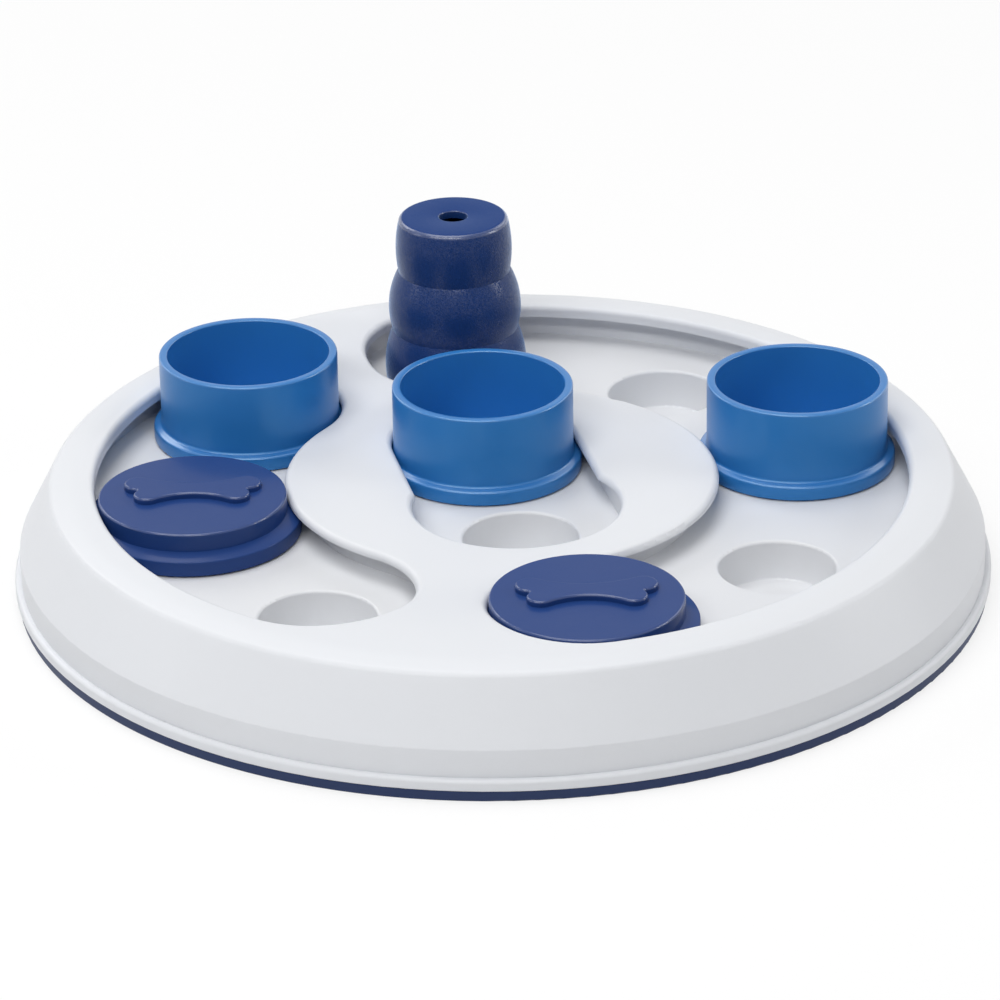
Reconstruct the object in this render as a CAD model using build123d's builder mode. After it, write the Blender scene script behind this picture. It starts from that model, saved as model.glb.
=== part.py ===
from build123d import *
import math
import os

# Dog puzzle feeder board: a dished cover with three slots, a tray with ten treat wells
# under it, a base plate on rubber feet, five sliders held in the slots by their flanges
# and one hollow cone that lifts out. Millimetres, +Z up, origin on the floor under the
# middle of the board, -Y towards the side that is shown as the front.

# ---- Heights of the board, from the floor up ----
foot_proud = 0.3  # rubber feet below the base plate
base_thickness = 2.65  # its edge shows as a strip under the lip
collar_height = 4.25  # seats that carry the wells
tray_thickness = 2.0
well_depth = 9.4
flange_headroom = 0.2  # above the highest ledge, under the middle of the cover
centre_thickness = 1.8
dish_depth = 2.3  # how far the middle of the cover lies below its rim
rim_thickness = 3.0

# ---- Edge of the board ----
strip_step = 0.6  # lip stands out past the strip
lip_height = 2.7
lip_step = 1.5  # lip stands out past the band
band_height = 6.6  # upright band above the lip
crest_drop = 1.1
rim_land = 10.4  # rim outside the arc tracks, up to the crest
skirt_wall = 2.0
land_round = 15.0  # where the rim starts to fall to the crest
crest_round = 2.2
shoulder_round = 1.2
lip_round = 0.9
strip_round = 0.4

# ---- Tracks and wells ----
right_azimuths = (284.6, 328.8, 372.6, 416.7, 458.5)  # its wells, degrees, counted on past 360
left_azimuths = (145.9, 190.5, 235.1)
centre_track_azimuth = 102.0
centre_track_half = 20.2  # from the middle of the board to each centre well
exit_distance = 16.0  # exit opening, from the middle of the board towards the front well
track_web = 10.7  # cover left between the centre exit and the arc tracks
well_radius = 13.5
well_taper = 0.9  # the well is this much smaller at its floor
well_mouth_round = 0.8
well_floor_round = 0.5
track_wall = 1.8
arc_flange_room = 1.7  # flange to track wall, arc tracks
centre_flange_room = 1.3
arc_slot_room = 0.3  # slider body to slot edge
centre_slot_room = 0.4
exit_room = 0.9  # flange to edge of the round exit opening
notch_round = 2.0
slot_edge_round = 1.5
dish_margin = 3.0  # the slope of the dish keeps this far from the slot edges

# ---- Sliders ----
cup_radius = 21.5
cup_height = 21.1
cup_wall = 2.0
cup_floor = 2.0
cup_hold = 1.2  # its flange reaches this far under the edges of an arc slot
cup_flange_height = 3.4
cup_ledge_rise = 0.5  # the top of a flange slopes up to the body
lid_radius = 21.9
lid_height = 9.2
lid_wall = 2.0
lid_hold = 3.0
lid_flange_height = 3.7
lid_ledge_rise = 1.2
slider_lift = 0.3  # running gap under a slider
bone_top_lobe = (12.6, 3.7, 3.4)  # centre to the right, centre to the back, radius
bone_low_lobe = (10.3, -2.3, 3.2)
bone_top_waist = 3.8  # edges of the bone on the lid's middle line
bone_low_waist = -2.2
bone_notch_round = 0.6
bone_height = 1.5
bone_edge_round = 0.6
cup_left_azimuth = 145.9
lid_left_azimuth = 191.0
cup_right_azimuth = 15.6

# ---- Cone ----
cone_top_radius = 13.2
cone_tiers = (  # height, radius at the belly, radius at the foot, from the top down
    (13.9, 14.25, 13.75),
    (15.1, 16.2, 15.5),
    (14.0, 17.3, 17.1),
)
cone_wall = 2.0
cone_hole_radius = 3.5
cone_top_round = 1.2
spigot_depth = 3.0
spigot_room = 0.7  # spigot to the wall of its well

# ---- Fixings and feet ----
screw_radius = 1.4
screw_length = 10.0
screw_head_radius = 2.9
screw_head_height = 2.0
screw_room = 0.1  # thread to post
head_room = 0.4
shank_room = 0.3
post_radius = 3.5
post_hole_depth = 11.0
post_room = 0.6
post_gap = 0.8  # rim posts to the tray
pad_height = 1.8
pad_radius = 4.6
pad_gap = 0.4  # rim pads to the outside of the key ring
inner_post_radius = 36.0  # two posts beside the centre track
bridge_post_radius = 92.0  # two posts under the bridges
rim_post_azimuths = (0.0, 60.0, 185.0, 310.0)
foot_radius = 6.3
foot_circle = 96.0
foot_start = 30.0  # azimuth of the first foot
foot_count = 6
foot_recess = 1.0
foot_room = 0.2
foot_round = 0.25
collar_radius = 8.0
collar_wall = 1.8
key_height = 4.5  # ring on the base that centres the cover
key_wall = 1.8
key_room = 0.3

# ---- Levels and radii that follow ----
z_base = foot_proud
z_base_top = z_base + base_thickness
z_well_under = z_base_top + collar_height
z_well_floor = z_well_under + tray_thickness
z_track = z_well_floor + well_depth
z_slider = z_track + slider_lift
z_ledge = z_slider + max(cup_flange_height + cup_ledge_rise, lid_flange_height + lid_ledge_rise)
z_centre_under = z_ledge + flange_headroom
z_centre_top = z_centre_under + centre_thickness
z_rim_top = z_centre_top + dish_depth
z_rim_under = z_rim_top - rim_thickness
z_band = z_base_top + lip_height
z_skirt = z_band + band_height
z_pad = z_base_top + pad_height

arc_slot_half = max(cup_radius, lid_radius) + arc_slot_room
centre_slot_half = cup_radius + centre_slot_room
cup_flange_radius = arc_slot_half + cup_hold
lid_flange_radius = arc_slot_half + lid_hold

arc_channel_half = max(cup_flange_radius, lid_flange_radius) + arc_flange_room
centre_channel_half = cup_flange_radius + centre_flange_room
exit_radius = cup_flange_radius + exit_room
track_radius = exit_distance + exit_radius + track_web + arc_slot_half
slot_inner = track_radius - arc_slot_half
slot_outer = track_radius + arc_slot_half
tray_radius = track_radius + arc_channel_half + track_wall
rim_post_circle = tray_radius + post_gap + post_radius
key_radius = rim_post_circle + pad_radius + pad_gap
skirt_inner = key_radius + key_room
crest_radius = slot_outer + rim_land
band_radius = skirt_inner + skirt_wall
lip_radius = band_radius + lip_step
strip_radius = lip_radius - strip_step
lean = (band_radius - crest_radius) / (z_rim_top - crest_drop - z_skirt)


def at(radius, azimuth):
    """Point in plan at a radius and an azimuth in degrees."""
    turn = math.radians(azimuth)
    return Vector(radius * math.cos(turn), radius * math.sin(turn))


right_places = [at(track_radius, azimuth) for azimuth in right_azimuths]
left_places = [at(track_radius, azimuth) for azimuth in left_azimuths]
centre_places = [
    at(centre_track_half, centre_track_azimuth),
    at(-centre_track_half, centre_track_azimuth),
]
well_places = right_places + left_places + centre_places
cone_place = right_places[-1]
exit_place = at(-exit_distance, centre_track_azimuth)  # the middle slider drops in here

right_bridge = (right_azimuths[-1] - 360 + left_azimuths[0]) / 2
front_bridge = (left_azimuths[-1] + right_azimuths[0]) / 2
inner_posts = [
    at(inner_post_radius, centre_track_azimuth - 90),
    at(inner_post_radius, centre_track_azimuth + 90),
    at(bridge_post_radius, right_bridge),
    at(bridge_post_radius, front_bridge),
]
rim_posts = [at(rim_post_circle, azimuth) for azimuth in rim_post_azimuths]
post_places = inner_posts + rim_posts


def upright(place, height):
    """Plane for a revolved profile: local X outwards, local Y up, standing at a place."""
    return Plane(origin=(place.X, place.Y, height), x_dir=(1, 0, 0), z_dir=(0, -1, 0))


def track_plan(half_arc, half_centre, centre_front):
    """Plan of the three tracks at a given half width, with their plain round ends."""
    with BuildSketch() as plan:
        for azimuths in (left_azimuths, right_azimuths):
            middle_line = CenterArc((0, 0), track_radius, azimuths[0], azimuths[-1] - azimuths[0])
            SlotArc(middle_line, 2 * half_arc)
        with Locations(at((centre_track_half - centre_front) / 2, centre_track_azimuth)):
            SlotCenterToCenter(
                centre_track_half + centre_front, 2 * half_centre, rotation=centre_track_azimuth
            )
    return plan.sketch


def dish_line(z_centre, z_rim):
    """Profile of the dished top: flat middle, a soft slope, flat rim."""
    start = (slot_inner + dish_margin, z_centre)
    end = (slot_outer - dish_margin, z_rim)
    middle = ((start[0] + end[0]) / 2, (start[1] + end[1]) / 2)
    Line((0, z_centre), start)
    low = TangentArc(start, middle, tangent=(1, 0))
    TangentArc(middle, end, tangent=low % 1)
    return end


# ---- Top cover ----
with BuildPart() as cover_envelope:  # the outer form, filled
    with BuildSketch(Plane.XZ) as envelope_profile:
        with BuildLine():
            rim_start = dish_line(z_centre_top, z_rim_top)
            Polyline(
                rim_start,
                (crest_radius - rim_land / 2, z_rim_top),
                (crest_radius, z_rim_top - crest_drop),
                (band_radius, z_skirt),
                (band_radius, z_band),
                (lip_radius, z_band),
                (lip_radius, z_base_top),
                (0, z_base_top),
                (0, z_centre_top),
            )
        make_face()
        rounded = (
            (crest_radius - rim_land / 2, z_rim_top, land_round),
            (crest_radius, z_rim_top - crest_drop, crest_round),
            (band_radius, z_skirt, shoulder_round),
            (lip_radius, z_band, lip_round),
            (lip_radius, z_base_top, lip_round / 2),
        )
        for radius, level, corner_round in rounded:
            corner = envelope_profile.vertices().sort_by_distance((radius, level, 0))[0]
            fillet(corner, corner_round)
    revolve(axis=Axis.Z)

with BuildPart() as cover_cavity:  # all that lies under the cover
    with BuildSketch(Plane.XZ):
        with BuildLine():
            rim_start = dish_line(z_centre_under, z_rim_under)
            Polyline(
                rim_start,
                (skirt_inner - lean * (z_rim_under - z_skirt), z_rim_under),
                (skirt_inner, z_skirt),
                (skirt_inner, z_base),
                (0, z_base),
                (0, z_centre_under),
            )
        make_face()
    revolve(axis=Axis.Z)

with BuildSketch() as slot_plan:
    add(track_plan(arc_slot_half, centre_slot_half, exit_distance))
    with Locations(exit_place):
        Circle(exit_radius)
    notches = slot_plan.vertices().filter_by(
        lambda vertex: abs((Vector(vertex) - exit_place).length - exit_radius) < 0.001
    )
    fillet(notches, notch_round)

with BuildPart() as cover_posts:
    with BuildSketch(Plane.XY.offset(z_pad)):
        with Locations(*post_places):
            Circle(post_radius)
    extrude(amount=z_rim_top - z_pad)
    add(cover_envelope.part, mode=Mode.INTERSECT)

with BuildPart() as top_cover:
    add(cover_envelope.part)
    add(cover_cavity.part, mode=Mode.SUBTRACT)
    with BuildSketch(Plane.XY.offset(z_centre_under - 1)):
        add(slot_plan.sketch)
    extrude(amount=z_rim_top - z_centre_under + 2, mode=Mode.SUBTRACT)
    slot_edges = top_cover.edges(Select.LAST).filter_by(
        lambda edge: edge.center().Z > (z_rim_under + z_centre_top) / 2
        and abs(edge.tangent_at(0.5).Z) < 0.5
    )
    fillet(slot_edges, slot_edge_round)
    add(cover_posts.part)
    with BuildSketch(Plane.XY.offset(z_pad)):
        with Locations(*post_places):
            Circle(screw_radius + screw_room)
    extrude(amount=post_hole_depth, mode=Mode.SUBTRACT)

# ---- Well tray ----
with BuildSketch() as wall_plan:
    add(track_plan(arc_channel_half + track_wall, centre_channel_half + track_wall, centre_track_half))
    add(track_plan(arc_channel_half, centre_channel_half, centre_track_half), mode=Mode.SUBTRACT)

with BuildPart() as well_tray:
    with BuildSketch(Plane.XY.offset(z_track - tray_thickness)):
        Circle(tray_radius)
        with Locations(*inner_posts):
            Circle(post_radius + post_room, mode=Mode.SUBTRACT)
    extrude(amount=tray_thickness)
    with BuildSketch(Plane.XY.offset(z_track)):
        add(wall_plan.sketch)
    extrude(amount=z_rim_top - z_track)
    add(cover_cavity.part, mode=Mode.INTERSECT)
    with Locations([(place.X, place.Y, z_well_under) for place in well_places]):
        Cone(
            well_radius + tray_thickness - well_taper,
            well_radius + tray_thickness,
            z_track - z_well_under,
            align=(Align.CENTER, Align.CENTER, Align.MIN),
        )
    with Locations([(place.X, place.Y, z_well_floor) for place in well_places]):
        Cone(
            well_radius - well_taper,
            well_radius,
            well_depth,
            align=(Align.CENTER, Align.CENTER, Align.MIN),
            mode=Mode.SUBTRACT,
        )
    circles = well_tray.edges().filter_by(GeomType.CIRCLE)
    mouths = circles.filter_by(
        lambda edge: abs(edge.radius - well_radius) < 0.01 and abs(edge.center().Z - z_track) < 0.01
    )
    fillet(mouths, well_mouth_round)
    circles = well_tray.edges().filter_by(GeomType.CIRCLE)
    floors = circles.filter_by(
        lambda edge: abs(edge.radius - well_radius + well_taper) < 0.01
        and abs(edge.center().Z - z_well_floor) < 0.01
    )
    fillet(floors, well_floor_round)

# ---- Base plate ----
foot_places = [at(foot_circle, foot_start + i * 360 / foot_count) for i in range(foot_count)]

with BuildPart() as base_plate:
    with BuildSketch(Plane.XY.offset(z_base)):
        Circle(strip_radius)
    extrude(amount=base_thickness)
    fillet(base_plate.edges().sort_by(Axis.Z)[0], strip_round)
    with BuildSketch(Plane.XY.offset(z_base_top)):  # key ring, open where the rim posts pass
        Circle(key_radius)
        Circle(key_radius - key_wall, mode=Mode.SUBTRACT)
        with Locations(*rim_posts):
            Circle(pad_radius + key_wall, mode=Mode.SUBTRACT)
    extrude(amount=key_height)
    with BuildSketch(Plane.XY.offset(z_base_top)):
        with Locations(*post_places):
            Circle(pad_radius)
    extrude(amount=pad_height)
    with BuildSketch(Plane.XY.offset(z_base_top)):
        with Locations(*well_places):
            Circle(collar_radius)
            Circle(collar_radius - collar_wall, mode=Mode.SUBTRACT)
    extrude(amount=collar_height)
    with BuildSketch(Plane.XY.offset(z_base)):  # head recesses, from below
        with Locations(*post_places):
            Circle(screw_head_radius + head_room)
    extrude(amount=base_thickness, mode=Mode.SUBTRACT)
    with BuildSketch(Plane.XY.offset(z_base)):
        with Locations(*post_places):
            Circle(screw_radius + shank_room)
    extrude(amount=z_pad - z_base, mode=Mode.SUBTRACT)
    with BuildSketch(Plane.XY.offset(z_base)):
        with Locations(*foot_places):
            Circle(foot_radius + foot_room)
    extrude(amount=foot_recess, mode=Mode.SUBTRACT)

# ---- Screws, one node ----
with BuildPart() as base_screws:
    with BuildSketch(Plane.XY.offset(z_base_top - screw_head_height)):
        with Locations(*post_places):
            Circle(screw_head_radius)
    extrude(amount=screw_head_height)
    with BuildSketch(Plane.XY.offset(z_base_top)):
        with Locations(*post_places):
            Circle(screw_radius)
    extrude(amount=screw_length)


# ---- Feet ----
def make_foot(place):
    """Rubber pad with a softened lower edge, stuck into its recess."""
    with BuildPart() as foot:
        with BuildSketch(Plane(origin=(place.X, place.Y, 0))):
            Circle(foot_radius)
        extrude(amount=foot_proud + foot_recess)
        fillet(foot.edges().sort_by(Axis.Z)[0], foot_round)
    return foot.part


# ---- Sliders ----
def make_cup(place):
    """Open cup with a flange that runs under the cover."""
    with BuildPart() as cup:
        with BuildSketch(upright(place, z_slider)) as profile:
            with BuildLine():
                Polyline(
                    (0, 0),
                    (cup_flange_radius, 0),
                    (cup_flange_radius, cup_flange_height),
                    (cup_radius, cup_flange_height + cup_ledge_rise),
                    (cup_radius, cup_height),
                    (cup_radius - cup_wall, cup_height),
                    (cup_radius - cup_wall, cup_floor),
                    (0, cup_floor),
                    close=True,
                )
            make_face()
        revolve(axis=Axis((place.X, place.Y, 0), (0, 0, 1)))
        rings = cup.edges().filter_by(GeomType.CIRCLE)
        fillet(rings.group_by(Axis.Z)[-1], cup_wall * 0.42)
        rings = cup.edges().filter_by(GeomType.CIRCLE)
        inner = rings.filter_by(lambda e: abs(e.radius - cup_radius + cup_wall) < 0.01)
        fillet(inner.sort_by(Axis.Z)[0], 2.0)
        rings = cup.edges().filter_by(GeomType.CIRCLE)
        fillet(rings.filter_by(lambda e: e.radius > cup_flange_radius - 0.01), 0.5)
    return cup.part


def bone_plan():
    """Bone with two lobes at each end, wider at the back, and hollowed long sides."""
    top_x, top_y, top_radius = bone_top_lobe
    low_x, low_y, low_radius = bone_low_lobe
    top_hip = (top_x - top_radius / 2, top_y + top_radius * math.sqrt(0.75))
    low_hip = (low_x - low_radius * math.sqrt(0.34), low_y - low_radius * math.sqrt(0.66))
    with BuildSketch() as bone:
        with BuildLine():
            ThreePointArc((-top_hip[0], top_hip[1]), (0, bone_top_waist), top_hip)
            Polyline(top_hip, (top_x, top_y), (low_x, low_y), low_hip)
            ThreePointArc(low_hip, (0, bone_low_waist), (-low_hip[0], low_hip[1]))
            Polyline((-low_hip[0], low_hip[1]), (-low_x, low_y), (-top_x, top_y), (-top_hip[0], top_hip[1]))
        make_face()
        with Locations((-top_x, top_y), (top_x, top_y)):
            Circle(top_radius)
        with Locations((-low_x, low_y), (low_x, low_y)):
            Circle(low_radius)
        notches = bone.vertices().filter_by(
            lambda vertex: abs(vertex.X) > low_x and low_y < vertex.Y < top_y
        )
        fillet(notches, bone_notch_round)
    return bone.sketch


def make_lid(place):
    """Hollow sliding lid with a flange and a raised bone on its top."""
    with BuildPart() as lid:
        with BuildSketch(upright(place, z_slider)):
            with BuildLine():
                Polyline(
                    (lid_radius - lid_wall, 0),
                    (lid_flange_radius, 0),
                    (lid_flange_radius, lid_flange_height),
                    (lid_radius, lid_flange_height + lid_ledge_rise),
                    (lid_radius, lid_height),
                    (0, lid_height),
                    (0, lid_height - lid_wall),
                    (lid_radius - lid_wall, lid_height - lid_wall),
                    close=True,
                )
            make_face()
        revolve(axis=Axis((place.X, place.Y, 0), (0, 0, 1)))
        rings = lid.edges().filter_by(GeomType.CIRCLE)
        fillet(rings.group_by(Axis.Z)[-1], 0.6)
        rings = lid.edges().filter_by(GeomType.CIRCLE)
        fillet(rings.filter_by(lambda e: e.radius > lid_flange_radius - 0.01), 0.5)
        with BuildSketch(Plane(origin=(place.X, place.Y, z_slider + lid_height))):
            add(bone_plan())
        extrude(amount=bone_height)
        fillet(lid.faces().sort_by(Axis.Z)[-1].edges(), bone_edge_round)
    return lid.part


# ---- Cone ----
cone_height = sum(tier[0] for tier in cone_tiers)
spigot_radius = well_radius - spigot_room

with BuildPart() as treat_cone:
    with BuildSketch(upright(cone_place, z_slider)) as cone_profile:
        with BuildLine():
            Line((0, cone_height), (cone_top_radius, cone_height))
            radius, level = cone_top_radius, cone_height
            for height, belly, foot in cone_tiers:
                ThreePointArc((radius, level), (belly, level - height / 2), (foot, level - height))
                radius, level = foot, level - height
            Polyline((radius, 0), (0, 0), (0, cone_height))
        make_face()
    revolve(axis=Axis((cone_place.X, cone_place.Y, 0), (0, 0, 1)))
    rings = treat_cone.edges().filter_by(GeomType.CIRCLE)
    fillet(rings.group_by(Axis.Z)[-1], cone_top_round)
    with BuildSketch(Plane(origin=(cone_place.X, cone_place.Y, z_slider))):
        Circle(spigot_radius)
    extrude(amount=-spigot_depth)
    with BuildSketch(upright(cone_place, z_slider)):
        with BuildLine():
            radius, level = cone_top_radius - cone_wall, cone_height - cone_wall
            Line((0, level), (radius, level))
            for height, belly, foot in cone_tiers:
                drop = height if level < cone_height - cone_wall else height - cone_wall
                if level - drop < cone_wall:
                    break
                Line((radius, level), (min(foot, belly) - cone_wall, level - drop))
                radius, level = min(foot, belly) - cone_wall, level - drop
            Polyline(
                (radius, level),
                (radius, cone_wall),
                (0, cone_wall),
                (0, cone_height - cone_wall),
            )
        make_face()
    revolve(axis=Axis((cone_place.X, cone_place.Y, 0), (0, 0, 1)), mode=Mode.SUBTRACT)
    with BuildSketch(Plane(origin=(cone_place.X, cone_place.Y, z_slider + cone_wall))):
        Circle(spigot_radius - cone_wall)
    extrude(amount=-cone_wall - spigot_depth, mode=Mode.SUBTRACT)
    with BuildSketch(Plane(origin=(cone_place.X, cone_place.Y, z_slider + cone_height))):
        Circle(cone_hole_radius)
    extrude(amount=-2 * cone_wall, mode=Mode.SUBTRACT)

# ---- Pieces and files ----
pieces = {
    "top_cover": top_cover.part,
    "well_tray": well_tray.part,
    "base_plate": base_plate.part,
    "base_screws": base_screws.part,
    "slide_cup_left": make_cup(at(track_radius, cup_left_azimuth)),
    "slide_cup_centre": make_cup(centre_places[0]),
    "slide_cup_right": make_cup(at(track_radius, cup_right_azimuth)),
    "slide_lid_left": make_lid(at(track_radius, lid_left_azimuth)),
    "slide_lid_front": make_lid(right_places[0]),
    "treat_cone": treat_cone.part,
}
for number, place in enumerate(foot_places, start=1):
    pieces[f"foot_{number}"] = make_foot(place)

os.makedirs("parts", exist_ok=True)
for name, piece in pieces.items():
    piece.label = name
    export_step(piece, f"parts/{name}.step")
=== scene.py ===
import bpy
import math
from mathutils import Matrix, Vector


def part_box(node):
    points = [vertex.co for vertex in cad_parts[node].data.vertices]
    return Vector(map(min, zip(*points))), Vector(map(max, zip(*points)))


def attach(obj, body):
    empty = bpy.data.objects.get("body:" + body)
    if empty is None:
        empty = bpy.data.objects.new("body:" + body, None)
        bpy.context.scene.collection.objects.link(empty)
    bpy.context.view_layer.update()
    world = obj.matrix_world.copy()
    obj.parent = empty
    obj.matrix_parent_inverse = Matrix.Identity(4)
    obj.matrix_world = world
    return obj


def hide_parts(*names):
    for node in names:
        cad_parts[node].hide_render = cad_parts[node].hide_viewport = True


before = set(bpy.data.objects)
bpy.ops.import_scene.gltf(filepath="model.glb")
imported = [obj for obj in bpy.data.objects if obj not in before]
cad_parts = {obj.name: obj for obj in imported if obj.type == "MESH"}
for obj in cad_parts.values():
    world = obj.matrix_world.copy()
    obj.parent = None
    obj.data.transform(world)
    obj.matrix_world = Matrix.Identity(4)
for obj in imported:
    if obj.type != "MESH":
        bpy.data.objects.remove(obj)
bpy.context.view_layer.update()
mm = 0.001
print("frame loaded")


class Wire:
    # one output socket; sums on it add Math nodes to the same tree

    def __init__(self, finish, socket):
        self.finish = finish
        self.socket = socket

    def maths(self, operation, first, second):
        return self.finish.node("ShaderNodeMath", {"operation": operation}, {0: first, 1: second})

    def __add__(self, other):
        return self.maths("ADD", self, other)

    def __radd__(self, other):
        return self.maths("ADD", other, self)

    def __sub__(self, other):
        return self.maths("SUBTRACT", self, other)

    def __rsub__(self, other):
        return self.maths("SUBTRACT", other, self)

    def __mul__(self, other):
        return self.maths("MULTIPLY", self, other)

    def __rmul__(self, other):
        return self.maths("MULTIPLY", other, self)

    def largest(self, other):
        return self.maths("MAXIMUM", self, other)


class Finish:
    # a node tree and the few calls that fill it

    def __init__(self, tree):
        self.tree = tree

    def node(self, kind, settings=None, sockets=None, output=0):
        made = self.tree.nodes.new(kind)
        for name, value in (settings or {}).items():
            setattr(made, name, value)
        for name, value in (sockets or {}).items():
            self.feed(made.inputs[name], value)
        return Wire(self, made.outputs[output])

    def feed(self, socket, value):
        if isinstance(value, Wire):
            self.tree.links.new(value.socket, socket)
        else:
            socket.default_value = value

    def place(self):
        return self.node("ShaderNodeTexCoord", output="Object")

    def level(self):
        return self.node("ShaderNodeSeparateXYZ", None, {0: self.place()}, "Z")

    def noise(self, scale, detail, roughness=0.5):
        values = {"Vector": self.place(), "Scale": scale, "Detail": detail, "Roughness": roughness}
        return self.node("ShaderNodeTexNoise", None, values)

    def between(self, value, low, high):
        # 0 below low, 1 above high
        values = {"Value": value, "From Min": low, "From Max": high}
        return self.node("ShaderNodeMapRange", {"interpolation_type": "SMOOTHSTEP"}, values)

    def blend(self, factor, first, second):
        return self.node("ShaderNodeMix", {"data_type": "RGBA"}, {0: factor, 6: first, 7: second}, 2)


def newMaterial(name):
    material = bpy.data.materials.new(name)
    material.use_nodes = True
    return material


noiseDetail = {"drift": 3.0, "grain": 3.0, "marks": 4.0, "glints": 1.0}
crisp = 0.6  # noise roughness of the grain and the marks
bandRise = 0.1 * mm  # over which a shiny band comes up
bandFall = 0.05 * mm  # and over which it ends
plainLook = {  # what a finish has where its own look says nothing
    "metallic": 0.0,
    "specular": 0.5,
    "specularTint": (1, 1, 1, 1),
    "coat": 0.0,
    "coatRough": 0.2,
    "sheen": 0.0,
    "sheenRough": 0.5,
    "sheenTint": (1, 1, 1, 1),
}


def mouldedPlastic(ownLook):
    # slow drift in the colour, spark-eroded grain in the surface, handling marks in the gloss
    look = dict(plainLook, **ownLook)
    material = newMaterial(look["name"])
    finish = Finish(material.node_tree)
    shader = material.node_tree.nodes["Principled BSDF"]
    drift = finish.noise(look["driftScale"], noiseDetail["drift"])
    grain = finish.noise(look["grainScale"], noiseDetail["grain"], crisp)
    marks = finish.noise(look["markScale"], noiseDetail["marks"], crisp)
    colour = finish.blend(drift, look["colour"], look["tint"])
    rough = look["rough"] + (grain - 0.5) * look["grainGloss"] + (marks - 0.5) * look["markGloss"]
    gloss = look["coat"]
    if "smoothAbove" in look:
        # the grain stops at the polished top, and its peaks glint on the sides
        body = 1 - finish.between(finish.level(), *look["smoothAbove"])
        specks = finish.noise(look["glintScale"], noiseDetail["glints"])
        glints = finish.between(specks, *look["glintRange"])
        gloss = glints * body * gloss
        grain = grain * (look["topGrain"] + body * (1 - look["topGrain"]))
        rough = rough + (1 - body) * look["topRough"]
        # painted light: the top gets a lighter colour than the sides, standing in for the light that
        # falls on it
        colour = finish.blend(body, look["paintedLitTopColour"], colour)
    if "shinyBands" in look:
        # edges rubbed bright, each between two levels
        bright = 0
        for low, high in look["shinyBands"]:
            above = finish.between(finish.level(), low, low + bandRise)
            bright = bright + above * (1 - finish.between(finish.level(), high - bandFall, high))
        gloss = gloss + bright * look["edgeCoat"]
    finish.feed(shader.inputs["Base Color"], colour)
    finish.feed(shader.inputs["Roughness"], rough)
    finish.feed(shader.inputs["Coat Weight"], gloss)
    bump = {"Strength": look["grainStrength"], "Distance": look["grainDepth"], "Height": grain}
    finish.feed(shader.inputs["Normal"], finish.node("ShaderNodeBump", None, bump))
    shader.inputs["Metallic"].default_value = look["metallic"]
    shader.inputs["Specular IOR Level"].default_value = look["specular"]
    shader.inputs["Specular Tint"].default_value = look["specularTint"]
    shader.inputs["Coat Roughness"].default_value = look["coatRough"]
    shader.inputs["Sheen Weight"].default_value = look["sheen"]
    shader.inputs["Sheen Roughness"].default_value = look["sheenRough"]
    shader.inputs["Sheen Tint"].default_value = look["sheenTint"]
    return material


coverLook = {
    "name": "coverPlastic",
    "colour": (0.700, 0.716, 0.748, 1),
    "tint": (0.712, 0.727, 0.757, 1),
    "rough": 0.44,
    "driftScale": 22.0,
    "grainScale": 2100.0,
    "grainStrength": 0.35,
    "grainDepth": 0.03 * mm,
    "grainGloss": 0.10,
    "markScale": 60.0,
    "markGloss": 0.10,
}
trayLook = dict(
    coverLook,
    name="trayPlastic",
    colour=(0.682, 0.692, 0.714, 1),
    tint=(0.694, 0.703, 0.724, 1),
    rough=0.48,
    grainScale=2400.0,
)
cupLook = {
    "name": "cupPlastic",
    "colour": (0.0200, 0.156, 0.450, 1),
    "tint": (0.0225, 0.163, 0.464, 1),
    "rough": 0.34,
    "specular": 0.5,
    "specularTint": (0.45, 0.90, 1.0, 1),
    "driftScale": 40.0,
    "grainScale": 2600.0,
    "grainStrength": 0.25,
    "grainDepth": 0.02 * mm,
    "grainGloss": 0.08,
    "markScale": 90.0,
    "markGloss": 0.10,
    "coat": 0.18,
    "coatRough": 0.20,
}
lidLook = {
    "name": "lidPlastic",
    "colour": (0.0118, 0.0415, 0.170, 1),
    "tint": (0.0128, 0.0445, 0.180, 1),
    "rough": 0.46,
    "specular": 0.10,
    "coat": 0.22,
    "coatRough": 0.15,
    "driftScale": 45.0,
    "grainScale": 2600.0,
    "grainStrength": 0.3,
    "grainDepth": 0.03 * mm,
    "grainGloss": 0.10,
    "markScale": 110.0,
    "markGloss": 0.12,
}
coneLook = dict(
    lidLook,
    name="conePlastic",
    colour=(0.0070, 0.0310, 0.132, 1),
    tint=(0.0080, 0.0335, 0.141, 1),
    # painted light: the top is coloured lighter than the sides, for the light that falls on it
    paintedLitTopColour=(0.0105, 0.0395, 0.166, 1),
    rough=0.38,
    grainScale=2800.0,
    grainStrength=1.0,
    grainDepth=0.10 * mm,
    grainGloss=0.25,
    smoothAbove=(61.5 * mm, 61.8 * mm),  # the grain of the sides fades out between these levels
    topRough=0.18,
    topGrain=0.08,
    glintScale=3000.0,
    glintRange=(0.36, 0.66),
    coat=0.65,
    coatRough=0.25,
    sheen=0.7,
    sheenRough=0.30,
    sheenTint=(0.45, 0.65, 1.0, 1),
    shinyBands=((60.8 * mm, 61.8 * mm),),
    edgeCoat=1.1,
)
baseLook = dict(
    lidLook,
    name="basePlastic",
    colour=(0.0140, 0.0300, 0.095, 1),
    tint=(0.0150, 0.0320, 0.102, 1),
    coat=0.0,
    specular=0.3,
    grainScale=1700.0,
    grainDepth=0.05 * mm,
)
rubberLook = {
    "name": "footRubber",
    "colour": (0.020, 0.020, 0.022, 1),
    "tint": (0.028, 0.028, 0.030, 1),
    "rough": 0.72,
    "driftScale": 120.0,
    "grainScale": 1500.0,
    "grainStrength": 0.5,
    "grainDepth": 0.05 * mm,
    "grainGloss": 0.15,
    "markScale": 300.0,
    "markGloss": 0.10,
}
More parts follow.
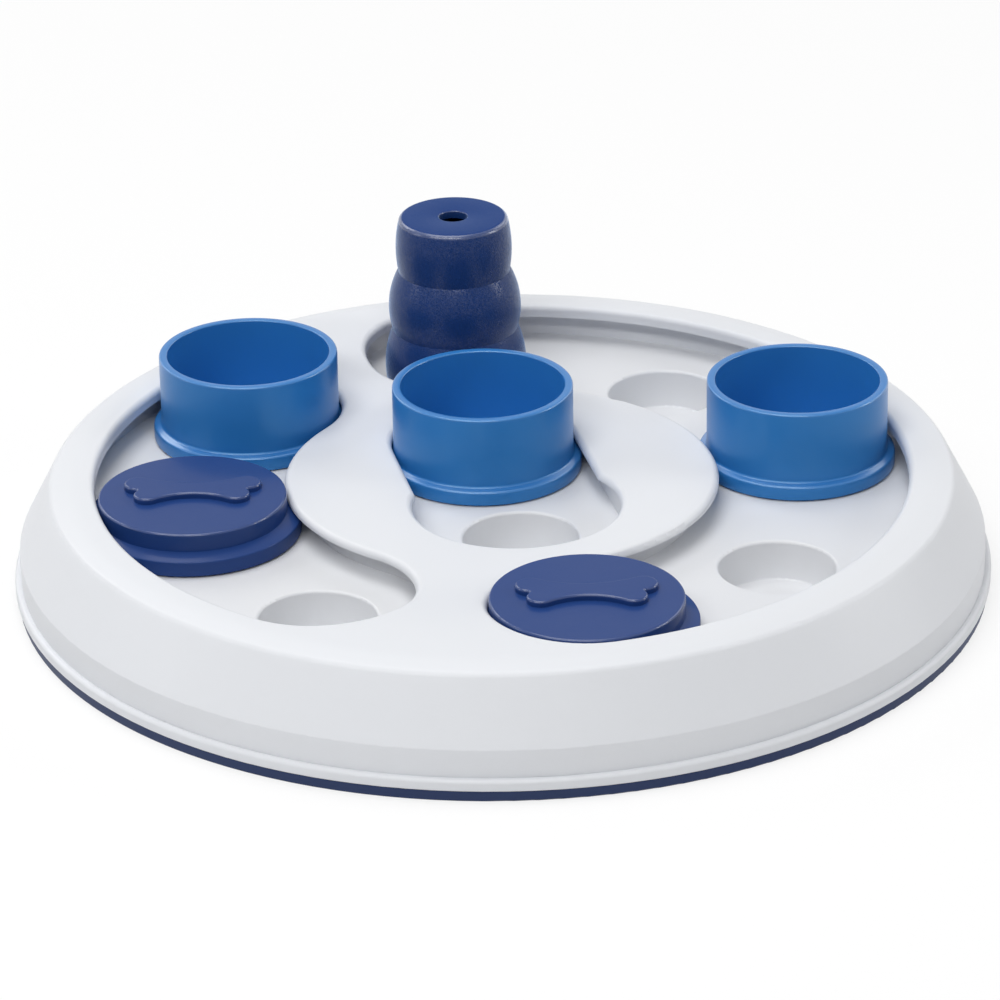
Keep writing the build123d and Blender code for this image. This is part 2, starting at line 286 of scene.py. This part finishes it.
zincLook = {
    "name": "screwZinc",
    "colour": (0.56, 0.57, 0.58, 1),
    "tint": (0.47, 0.48, 0.51, 1),
    "rough": 0.34,
    "driftScale": 400.0,
    "grainScale": 2600.0,
    "grainStrength": 0.3,
    "grainDepth": 0.02 * mm,
    "grainGloss": 0.20,
    "markScale": 900.0,
    "markGloss": 0.15,
    "metallic": 1.0,
}
print("finishes described")

samePlace = 0.001 * mm  # corners nearer than this are one
spunWeld = 0.002 * mm  # the same for a section that was spun
creaseAngle = 32  # degrees, sharper edges of a spun piece stay sharp
smallRound = 0.5  # mm, a rounding under this gets fewer segments
smallRoundSegments = 3
roundSegments = 6


def startFresh(piece=None):
    # object mode with nothing chosen but this piece
    if bpy.context.object and bpy.context.object.mode != "OBJECT":
        bpy.ops.object.mode_set(mode="OBJECT")
    bpy.ops.object.select_all(action="DESELECT")
    if piece:
        piece.select_set(True)
        bpy.context.view_layer.objects.active = piece


def chooseCorners(piece, places):
    # only the vertices at these places are selected, back in edit mode
    bpy.ops.mesh.select_all(action="DESELECT")
    bpy.ops.object.mode_set(mode="OBJECT")
    for vertex in piece.data.vertices:
        vertex.select = any((vertex.co - Vector(place)).length < samePlace for place in places)
    bpy.ops.object.mode_set(mode="EDIT")


def chooseFaces(piece, wanted):
    # only the faces that the test accepts are selected, back in edit mode
    bpy.ops.object.mode_set(mode="OBJECT")
    for face in piece.data.polygons:
        face.select = wanted(face)
    bpy.ops.object.mode_set(mode="EDIT")


def turned(name, outline, sides, closed):
    # a section drawn from corner to corner, its corners rounded, then spun round the upright axis
    startFresh()
    corners = [Vector((radius * mm, 0, height * mm)) for radius, height, _ in outline]
    bpy.ops.mesh.primitive_plane_add(size=mm, location=corners[0])
    piece = bpy.context.object
    piece.name = name
    piece.data.name = name
    bpy.ops.object.transform_apply(location=True, rotation=True, scale=True)
    bpy.ops.object.mode_set(mode="EDIT")
    bpy.ops.mesh.select_mode(type="VERT")
    bpy.ops.mesh.select_all(action="SELECT")
    bpy.ops.mesh.merge(type="CENTER")
    for last, corner in zip(corners, corners[1:]):
        bpy.ops.mesh.extrude_vertices_move(TRANSFORM_OT_translate={"value": corner - last})
    if closed:
        chooseCorners(piece, (corners[0], corners[-1]))
        bpy.ops.mesh.edge_face_add()
    for corner, (_, _, rounding) in zip(corners, outline):
        if rounding:
            chooseCorners(piece, (corner,))
            segments = smallRoundSegments if rounding < smallRound else roundSegments
            bpy.ops.mesh.bevel(affect="VERTICES", offset=rounding * mm, segments=segments)
    bpy.ops.mesh.select_all(action="SELECT")
    bpy.ops.mesh.spin(steps=sides, angle=2 * math.pi, center=(0, 0, 0), axis=(0, 0, 1))
    bpy.ops.mesh.select_all(action="SELECT")
    bpy.ops.mesh.remove_doubles(threshold=spunWeld)
    bpy.ops.mesh.normals_make_consistent(inside=False)
    bpy.ops.object.mode_set(mode="OBJECT")
    bpy.ops.object.shade_smooth_by_angle(angle=math.radians(creaseAngle))
    return piece


def copyOf(piece, name):
    # a new object with a mesh of its own
    twin = bpy.data.objects.new(name, piece.data.copy())
    twin.data.name = name
    bpy.context.scene.collection.objects.link(twin)
    return twin


def setDown(piece, place, turn=0.0):
    # the place goes into the mesh, so the object stays at the origin
    startFresh(piece)
    piece.location = place
    piece.rotation_euler = (0, 0, turn)
    bpy.ops.object.transform_apply(location=True, rotation=True, scale=True)


def mergedCopy(node, name, angle):
    # the CAD shape with its loose triangles joined, so that round surfaces shade smoothly
    piece = copyOf(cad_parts[node], name)
    startFresh(piece)
    bpy.ops.object.mode_set(mode="EDIT")
    bpy.ops.mesh.select_all(action="SELECT")
    bpy.ops.mesh.customdata_custom_splitnormals_clear()
    bpy.ops.mesh.remove_doubles(threshold=samePlace)
    bpy.ops.object.mode_set(mode="OBJECT")
    bpy.ops.object.shade_smooth_by_angle(angle=math.radians(angle))
    weighted = piece.modifiers.new("weighted", "WEIGHTED_NORMAL")
    weighted.keep_sharp = True
    bpy.ops.object.modifier_apply(modifier="weighted")
    return piece


def footOf(node):
    # middle of a node in plan, at its lowest level
    low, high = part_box(node)
    return Vector(((low[0] + high[0]) / 2, (low[1] + high[1]) / 2, low[2]))


def bandFrom(level, ends):
    # a band between two levels, which are given in mm above this one
    return tuple(level + end * mm for end in ends)


def handIn(piece, material, body, node):
    piece.data.materials.clear()
    piece.data.materials.append(material)
    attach(piece, body)
    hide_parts(node)


cover = {
    "node": "top_cover",
    "name": "dishedCover",
    "slot": "grey_cover",
    "smoothUnder": 30,  # degrees, sharper edges stay sharp
    "look": coverLook,
}
tray = {
    "node": "well_tray",
    "name": "wellTray",
    "slot": "grey_tray",
    "smoothUnder": 30,
    "look": trayLook,
}
base = {
    "node": "base_plate",
    "name": "basePlate",
    "slot": "navy_base",
    "smoothUnder": 30,
    "look": baseLook,
}
for shell in (cover, tray, base):
    piece = mergedCopy(shell["node"], shell["name"], shell["smoothUnder"])
    handIn(piece, mouldedPlastic(shell["look"]), "board", shell["node"])
print("board shells smoothed")

cup = {
    "radius": 21.5,
    "height": 21.1,
    "wall": 2.0,
    "floor": 2.0,
    "floorRound": 2.0,
    "rimRound": 0.45,
    "boreRound": 0.315,  # the inner edge of the rim is the crisper one
    "flangeRadius": 23.4,
    "flangeHeight": 3.4,
    "flangeTopRound": 0.45,
    "flangeFootRound": 0.4,
    "ledgeRise": 0.5,
    "ledgeRound": 0.5,
    "runner": 1.6,  # width of the ring that slides on the track
    "runnerRise": 0.4,
    "runnerSlope": 0.5,
    "runnerRound": 0.3,
    "sides": 160,
    "flangeBand": (-0.5, 0.6),  # bright edge, from the top of the flange
    "rimBand": (-0.5, -0.03),  # bright edge, from the top of the cup
    "edgeCoat": 0.7,
    "slot": "blue_cup",
    "bodies": {  # for each node, the name of the piece and its body
        "slide_cup_left": ("cupLeft", "cup_left"),
        "slide_cup_centre": ("cupCentre", "cup_centre"),
        "slide_cup_right": ("cupRight", "cup_right"),
    },
}
bore = cup["radius"] - cup["wall"]
runnerInside = cup["flangeRadius"] - cup["runner"]
cupOutline = [  # radius, height and rounding of each corner
    (0, cup["floor"], 0),
    (bore, cup["floor"], cup["floorRound"]),
    (bore, cup["height"], cup["boreRound"]),
    (cup["radius"], cup["height"], cup["rimRound"]),
    (cup["radius"], cup["flangeHeight"] + cup["ledgeRise"], cup["ledgeRound"]),
    (cup["flangeRadius"], cup["flangeHeight"], cup["flangeTopRound"]),
    (cup["flangeRadius"], 0, cup["flangeFootRound"]),
    (runnerInside, 0, cup["runnerRound"]),
    (runnerInside - cup["runnerSlope"], cup["runnerRise"], 0),
    (0, cup["runnerRise"], 0),
]
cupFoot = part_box("slide_cup_left")[0][2]
cupEdges = (
    bandFrom(cupFoot + cup["flangeHeight"] * mm, cup["flangeBand"]),
    bandFrom(cupFoot + cup["height"] * mm, cup["rimBand"]),
)
cupPlastic = mouldedPlastic(dict(cupLook, shinyBands=cupEdges, edgeCoat=cup["edgeCoat"]))
firstCup = turned("cupMaster", cupOutline, cup["sides"], False)
for node, (name, body) in cup["bodies"].items():
    piece = copyOf(firstCup, name)
    setDown(piece, footOf(node))
    handIn(piece, cupPlastic, body, node)
bpy.data.objects.remove(firstCup)
print("cups turned")

lid = {
    "smoothUnder": 32,
    "boneFootBand": (-2.1, -1.52),  # bright edges, from the top of the bone
    "boneTopBand": (-0.75, -0.02),
    "edgeCoat": 0.75,
    "slot": "navy_lid",
    "bodies": {  # for each node, the name of the piece and its body
        "slide_lid_left": ("lidLeft", "lid_left"),
        "slide_lid_front": ("lidFront", "lid_front"),
    },
}
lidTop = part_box("slide_lid_left")[1][2]
lidEdges = (bandFrom(lidTop, lid["boneFootBand"]), bandFrom(lidTop, lid["boneTopBand"]))
lidPlastic = mouldedPlastic(dict(lidLook, shinyBands=lidEdges, edgeCoat=lid["edgeCoat"]))
for node, (name, body) in lid["bodies"].items():
    piece = mergedCopy(node, name, lid["smoothUnder"])
    handIn(piece, lidPlastic, body, node)
print("lids smoothed")

cone = {
    "topRadius": 13.2,
    "tiers": ((13.9, 14.25, 13.75), (15.1, 16.2, 15.5), (14.0, 17.3, 17.1)),  # height, belly, foot
    "tierSteps": 14,
    "topRound": 1.1,
    "footRound": 0.4,
    "wall": 2.0,
    "insideRound": 0.5,
    "holeRadius": 3.5,
    "holeRound": 0.45,
    "spigotRadius": 12.8,
    "spigotDepth": 3.0,
    "spigotRound": 0.3,
    "sides": 160,
}


def bellied(top, height, belly, foot, level, steps):
    # points on the arc through the top, the belly halfway down and the foot of one tier
    start = Vector((top, level))
    middle = Vector((belly, level - height / 2))
    end = Vector((foot, level - height))
    chord = (end - start).length
    outward = Vector((start.y - end.y, end.x - start.x)) / chord
    rise = (middle - (start + end) / 2).dot(outward)
    radius = (chord * chord / 4 + rise * rise) / (2 * rise)
    centre = (start + end) / 2 + outward * (rise - radius)
    half = math.asin(chord / 2 / radius)
    points = []
    for step in range(1, steps):
        angle = half - 2 * half * step / steps
        along = (start - end) / chord * math.sin(angle) + outward * math.cos(angle)
        point = centre + along * radius
        points.append((point.x, point.y, 0))
    return points


level = sum(tier[0] for tier in cone["tiers"])
innerLevel = level - cone["wall"]
coneOutline = [
    (cone["holeRadius"], level, cone["holeRound"]),
    (cone["topRadius"], level, cone["topRound"]),
]
inside = [
    (cone["topRadius"] - cone["wall"], innerLevel, cone["insideRound"]),
    (cone["holeRadius"], innerLevel, 0),
]
top = cone["topRadius"]
for number, (height, belly, foot) in enumerate(cone["tiers"], start=1):
    coneOutline += bellied(top, height, belly, foot, level, cone["tierSteps"])
    level -= height
    lowest = number == len(cone["tiers"])
    coneOutline.append((foot, level, cone["footRound"] if lowest else 0))
    if not lowest:
        inside.insert(0, (min(foot, belly) - cone["wall"], level, 0))
    top = foot
cavityRadius = inside[0][0]
spigotBore = cone["spigotRadius"] - cone["wall"]
coneOutline += [
    (cone["spigotRadius"], 0, 0),
    (cone["spigotRadius"], -cone["spigotDepth"], cone["spigotRound"]),
    (spigotBore, -cone["spigotDepth"], cone["spigotRound"]),
    (spigotBore, cone["wall"], 0),
    (cavityRadius, cone["wall"], 0),
]
coneOutline += inside
piece = turned("treatCone", coneOutline, cone["sides"], True)
setDown(piece, footOf("treat_cone") + Vector((0, 0, cone["spigotDepth"] * mm)))
handIn(piece, mouldedPlastic(coneLook), "cone", "treat_cone")
print("cone turned")

screw = {
    "headRadius": 2.9,
    "headHeight": 2.0,
    "headRound": 0.7,
    "headEdgeRound": 0.15,
    "neckRound": 0.2,
    "shankRadius": 1.4,
    "length": 10.0,
    "tip": 1.6,  # length of the pointed end
    "crossWidth": 0.75,
    "crossReach": 1.25,
    "crossDepth": 1.3,
    "crossTaper": 0.45,  # tip of the driver that cuts the recess, as a share of its other end
    "places": (  # distance from the middle of the board, and degrees round it
        (36, 12),
        (36, 192),
        (92, 122.2),
        (92, 259.85),
        (106.2, 0),
        (106.2, 60),
        (106.2, 185),
        (106.2, 310),
    ),
    "turn": 37.0,  # degrees that each stands further round than the last
    "sides": 48,
}
screwOutline = [
    (0, 0, 0),
    (screw["headRadius"], 0, screw["headRound"]),
    (screw["headRadius"], screw["headHeight"], screw["headEdgeRound"]),
    (screw["shankRadius"], screw["headHeight"], screw["neckRound"]),
    (screw["shankRadius"], screw["headHeight"] + screw["length"] - screw["tip"], 0),
    (0, screw["headHeight"] + screw["length"], 0),
]
firstScrew = turned("screwMaster", screwOutline, screw["sides"], False)
startFresh()
bpy.ops.mesh.primitive_cube_add(size=screw["crossWidth"] * mm, location=(0, 0, 0))
driver = bpy.context.object
bpy.ops.object.mode_set(mode="EDIT")
bpy.ops.mesh.select_mode(type="FACE")
bpy.ops.mesh.select_all(action="DESELECT")
chooseFaces(driver, lambda face: abs(face.normal.z) < 0.5)  # the four sides
bpy.ops.mesh.extrude_faces_move(TRANSFORM_OT_shrink_fatten={"value": screw["crossReach"] * mm})
bpy.ops.mesh.select_all(action="SELECT")
tall = 2 * screw["crossDepth"] / screw["crossWidth"]
bpy.ops.transform.resize(value=(1, 1, tall), center_override=(0, 0, 0))
bottom = screw["crossDepth"] * mm
chooseFaces(driver, lambda face: face.center.z > 0.9 * bottom)  # the end that cuts deepest
narrow = screw["crossTaper"]
bpy.ops.transform.resize(value=(narrow, narrow, 1), center_override=(0, 0, bottom))
startFresh(firstScrew)
recess = firstScrew.modifiers.new("recess", "BOOLEAN")
recess.operation = "DIFFERENCE"
recess.object = driver
bpy.ops.object.modifier_apply(modifier="recess")
bpy.data.objects.remove(driver)
screws = []
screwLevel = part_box("base_screws")[0][2]
for number, (reach, azimuth) in enumerate(screw["places"]):
    piece = copyOf(firstScrew, "baseScrews" if number == 0 else f"screw{number}")
    around = math.radians(azimuth)
    place = (reach * mm * math.cos(around), reach * mm * math.sin(around), screwLevel)
    setDown(piece, place, math.radians(number * screw["turn"]))
    screws.append(piece)
startFresh(screws[0])
for piece in screws:
    piece.select_set(True)
bpy.ops.object.join()
handIn(screws[0], mouldedPlastic(zincLook), "board", "base_screws")
bpy.data.objects.remove(firstScrew)
print("screws made")

foot = {
    "count": 6,
    "radius": 6.3,
    "height": 1.3,
    "edgeRound": 0.25,
    "seatRound": 0.1,
    "grooves": (5.0, 3.6, 2.2),  # outer radius of each grip groove
    "grooveWidth": 0.6,
    "grooveDepth": 0.2,
    "grooveSlope": 0.1,
    "sides": 96,
}
footOutline = [
    (0, foot["height"], 0),
    (foot["radius"], foot["height"], foot["seatRound"]),
    (foot["radius"], 0, foot["edgeRound"]),
]
for outer in foot["grooves"]:
    inner = outer - foot["grooveWidth"]
    footOutline += [
        (outer, 0, 0),
        (outer - foot["grooveSlope"], foot["grooveDepth"], 0),
        (inner + foot["grooveSlope"], foot["grooveDepth"], 0),
        (inner, 0, 0),
    ]
footOutline.append((0, 0, 0))
rubber = mouldedPlastic(rubberLook)
firstFoot = turned("footMaster", footOutline, foot["sides"], False)
for number in range(1, foot["count"] + 1):
    node = f"foot_{number}"
    piece = copyOf(firstFoot, f"rubberFoot{number}")
    setDown(piece, footOf(node))
    handIn(piece, rubber, "board", node)
bpy.data.objects.remove(firstFoot)
print("feet made")

view = {
    "place": (-0.00049, -1.06562, 0.51811),
    "down": 0.4382,  # tilt below level, in radians as the roll is
    "roll": -0.0168,
    "lens": 180.0,
    "sensor": 36.0,
    "nearest": 0.05,
    "farthest": 20,
}
bpy.ops.object.camera_add(location=view["place"])
shot = bpy.context.object
shot.data.sensor_width = view["sensor"]
shot.data.lens = view["lens"]
shot.data.clip_start = view["nearest"]
shot.data.clip_end = view["farthest"]
aim = Matrix.Rotation(math.pi / 2 - view["down"], 4, "X") @ Matrix.Rotation(view["roll"], 4, "Z")
shot.matrix_world = Matrix.Translation(shot.location) @ aim
bpy.context.scene.camera = shot
print("camera placed")

studio = {
    "white": (1, 1, 1, 1),
    "backdrop": 1.0,
    "ambient": 0.03,  # how much of the backdrop lights the object
    "floorShade": (0.9, 0.9, 0.9, 1),
    "floorSize": 8.0,
    "floorLift": 0.80,  # share of plain white in the floor close to the object
    "liftGrows": (0.3, 1.2),  # metres from the middle, all white past the second
    "lampsAim": (0, 0, 0.03),
}
lamps = (  # the size is how far a lamp reaches across and up
    {"name": "topSoftbox", "place": (-0.2, 0.1, 1.4), "size": (1.0, 1.0), "power": 11.7},
    {"name": "frontStrip", "place": (-0.3, -1.0, 1.1), "size": (1.5, 0.25), "power": 12.2},
    {"name": "leftSoftbox", "place": (-1.2, -0.1, 0.5), "size": (0.3, 0.6), "power": 1.2},
    {"name": "rightSoftbox", "place": (1.2, 0.1, 0.5), "size": (0.3, 0.6), "power": 3.4},
    {"name": "backLeftSoftbox", "place": (-0.8, 0.9, 0.9), "size": (0.6, 0.6), "power": 3.8},
    {"name": "backRightSoftbox", "place": (0.9, 0.9, 0.8), "size": (0.6, 0.6), "power": 1.9},
)


def softLamp(lamp):
    bpy.ops.object.light_add(type="AREA", location=lamp["place"])
    light = bpy.context.object
    light.name = lamp["name"]
    light.data.shape = "RECTANGLE"
    light.data.size, light.data.size_y = lamp["size"]
    light.data.energy = lamp["power"]
    towards = Vector(studio["lampsAim"]) - Vector(lamp["place"])
    light.rotation_euler = towards.to_track_quat("-Z", "Y").to_euler()


def seenDirectly(finish):
    # 1 for what the camera, a reflection or a see-through part shows, 0 for light on the object
    rays = ("Is Camera Ray", "Is Glossy Ray", "Is Transmission Ray")
    camera, glossy, through = (finish.node("ShaderNodeLightPath", output=ray) for ray in rays)
    return camera.largest(glossy).largest(through)


bpy.ops.mesh.primitive_plane_add(size=studio["floorSize"], location=(0, 0, 0))
floor = bpy.context.object
floor.name = "floor"
floorPaper = newMaterial("floorPaper")
paper = Finish(floorPaper.node_tree)
floorPaper.node_tree.nodes.remove(floorPaper.node_tree.nodes["Principled BSDF"])
matt = paper.node("ShaderNodeBsdfDiffuse", None, {"Color": studio["floorShade"]})
glow = paper.node("ShaderNodeEmission", None, {"Color": studio["white"], "Strength": studio["backdrop"]})
reach = paper.node("ShaderNodeVectorMath", {"operation": "LENGTH"}, {0: paper.place()}, "Value")
lift = studio["floorLift"] + paper.between(reach, *studio["liftGrows"]) * (1 - studio["floorLift"])
shown = paper.node("ShaderNodeMixShader", None, {0: seenDirectly(paper) * lift, 1: matt, 2: glow})
paper.feed(floorPaper.node_tree.nodes["Material Output"].inputs["Surface"], shown)
floor.data.materials.append(floorPaper)

world = bpy.data.worlds.new("studio")
bpy.context.scene.world = world
world.use_nodes = True
sky = Finish(world.node_tree)
backdrop = world.node_tree.nodes["Background"]
backdrop.inputs["Color"].default_value = studio["white"]
direct = seenDirectly(sky)
sky.feed(backdrop.inputs["Strength"], direct * studio["backdrop"] + (1 - direct) * studio["ambient"])
for lamp in lamps:
    softLamp(lamp)
bpy.context.scene.view_settings.view_transform = "Standard"
print("floor and lamps placed")
